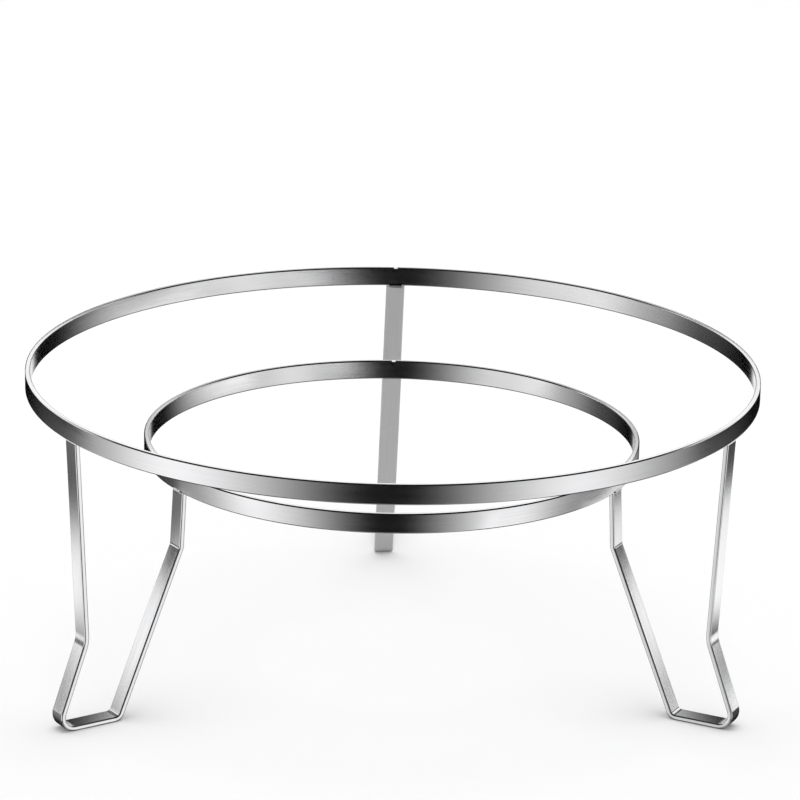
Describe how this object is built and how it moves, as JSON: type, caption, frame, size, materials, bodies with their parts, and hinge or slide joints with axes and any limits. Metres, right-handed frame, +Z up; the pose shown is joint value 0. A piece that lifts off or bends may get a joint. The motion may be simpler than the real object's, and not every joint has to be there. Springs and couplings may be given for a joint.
{
  "type": "pot stand",
  "caption": "Round stainless steel strip stand: a large upper ring and a small lower ring on bent strip legs, to hold a pot above a burner or table.",
  "frame": {"origin": "on the ground under the middle of the whole stand; the rings' common axis is 3 mm from it towards -Y, because only the back leg's foot reaches past the rings along Y", "axes": "+Z up; +Y towards the back leg; +X to the right as seen from the front, where the picture was taken"},
  "size_m": [0.258, 0.2644, 0.11],
  "materials": {
    "ring_steel": "bright stainless strip, faintly brushed along its length",
    "leg_steel": "bright stainless strip, faintly brushed along its length",
    "weld_steel": "bright weld metal, lightly dressed"
  },
  "bodies": {
    "root": {"upper_ring": "ring_steel", "lower_ring": "ring_steel", "leg_back": "leg_steel", "leg_left": "leg_steel", "leg_right": "leg_steel", "upper_welds": "weld_steel", "lower_welds": "weld_steel", "seam_welds": "weld_steel"}
  },
  "joints": []
}
